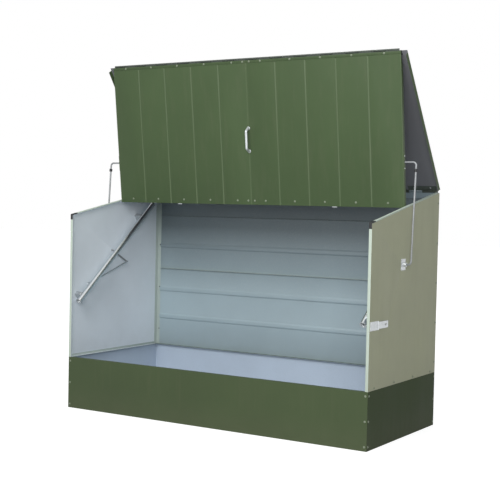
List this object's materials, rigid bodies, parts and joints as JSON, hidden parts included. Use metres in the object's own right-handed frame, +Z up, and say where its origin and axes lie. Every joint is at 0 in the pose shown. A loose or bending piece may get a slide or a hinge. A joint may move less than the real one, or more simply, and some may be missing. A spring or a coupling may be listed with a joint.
{
  "type": "bike shelter",
  "caption": "Low metal bike shelter on a plinth, with a sloping roof that lifts on a rear hinge and carries a folding front door, lift rods and spring tubes",
  "frame": {"origin": "centre of the floor's underside, on the ground", "axes": "+X right seen from the front, +Y back, +Z up; the open front faces -Y"},
  "size_m": [2.068, 0.862, 2.0518],
  "materials": {
    "green_sheet": "plastic-coated steel, satin",
    "cream_sheet": "plastic-coated steel, satin",
    "grey_sheet": "plain coated steel, satin",
    "zinc_steel": "zinc plated",
    "black_plastic": "moulded, matt"
  },
  "bodies": {
    "shell": {"floor_panel": "grey_sheet", "front_plinth": "green_sheet", "rear_plinth": "green_sheet", "left_plinth": "green_sheet", "right_plinth": "green_sheet", "left_wall": "cream_sheet", "right_wall": "cream_sheet", "rear_panel_low": "grey_sheet", "rear_panel_mid": "grey_sheet", "rear_panel_top": "grey_sheet", "left_corner_post": "cream_sheet", "right_corner_post": "cream_sheet", "rear_header": "grey_sheet", "left_cap": "black_plastic", "right_cap": "black_plastic", "left_trim": "cream_sheet", "right_trim": "cream_sheet", "left_bracket": "zinc_steel", "right_bracket": "zinc_steel", "left_hasp": "zinc_steel", "right_hasp": "zinc_steel", "left_tube": "zinc_steel", "right_tube": "zinc_steel", "left_saddles": "zinc_steel", "right_saddles": "zinc_steel"},
    "roof": {"roof_panel_left": "green_sheet", "roof_panel_right": "green_sheet", "roof_rear_leaf": "zinc_steel", "roof_front_leaf": "zinc_steel", "roof_seam": "grey_sheet"},
    "door": {"door_panel_left": "green_sheet", "door_panel_right": "green_sheet", "door_top_leaf": "zinc_steel", "door_bottom_rail": "grey_sheet", "door_seam": "grey_sheet", "door_handle": "zinc_steel", "left_hook_plate": "zinc_steel", "right_hook_plate": "zinc_steel", "left_catch": "zinc_steel", "right_catch": "zinc_steel"},
    "left_rod": {"left_rod": "zinc_steel", "left_rod_clip": "black_plastic"},
    "right_rod": {"right_rod": "zinc_steel", "right_rod_clip": "black_plastic"},
    "left_link": {"left_link": "zinc_steel"},
    "right_link": {"right_link": "zinc_steel"}
  },
  "joints": [
    {"name": "roof_hinge", "type": "hinge", "parent": "shell", "child": "roof", "pos_m": [0, 0.424, 1.32], "axis": [1, 0, 0], "range_deg": [0, 66.31]},
    {"name": "door_hinge", "type": "hinge", "parent": "roof", "child": "door", "pos_m": [0, -0.08489, 2.04678], "axis": [-1, 0, 0], "range_deg": [0, 73.32]},
    {"name": "left_rod_pivot", "type": "hinge", "parent": "shell", "child": "left_rod", "pos_m": [-1.025, -0.04517, 0.9246], "axis": [1, 0, 0], "range_deg": [0, 136.55]},
    {"name": "right_rod_pivot", "type": "hinge", "parent": "shell", "child": "right_rod", "pos_m": [1.025, -0.04517, 0.9246], "axis": [1, 0, 0], "range_deg": [0, 136.55]},
    {"name": "left_link_pivot", "type": "hinge", "parent": "shell", "child": "left_link", "pos_m": [-0.96, -0.28862, 0.72554], "axis": [1, 0, 0], "range_deg": [0, 41.28]},
    {"name": "right_link_pivot", "type": "hinge", "parent": "shell", "child": "right_link", "pos_m": [0.96, -0.28862, 0.72554], "axis": [1, 0, 0], "range_deg": [0, 41.28]}
  ],
  "couplings": [
    {"joint": "door_hinge", "follows": "roof_hinge", "ratio": 1.1056},
    {"joint": "left_rod_pivot", "follows": "roof_hinge", "ratio": 2.0592},
    {"joint": "right_rod_pivot", "follows": "roof_hinge", "ratio": 2.0592},
    {"joint": "left_link_pivot", "follows": "roof_hinge", "ratio": 0.62242},
    {"joint": "right_link_pivot", "follows": "roof_hinge", "ratio": 0.62242}
  ]
}
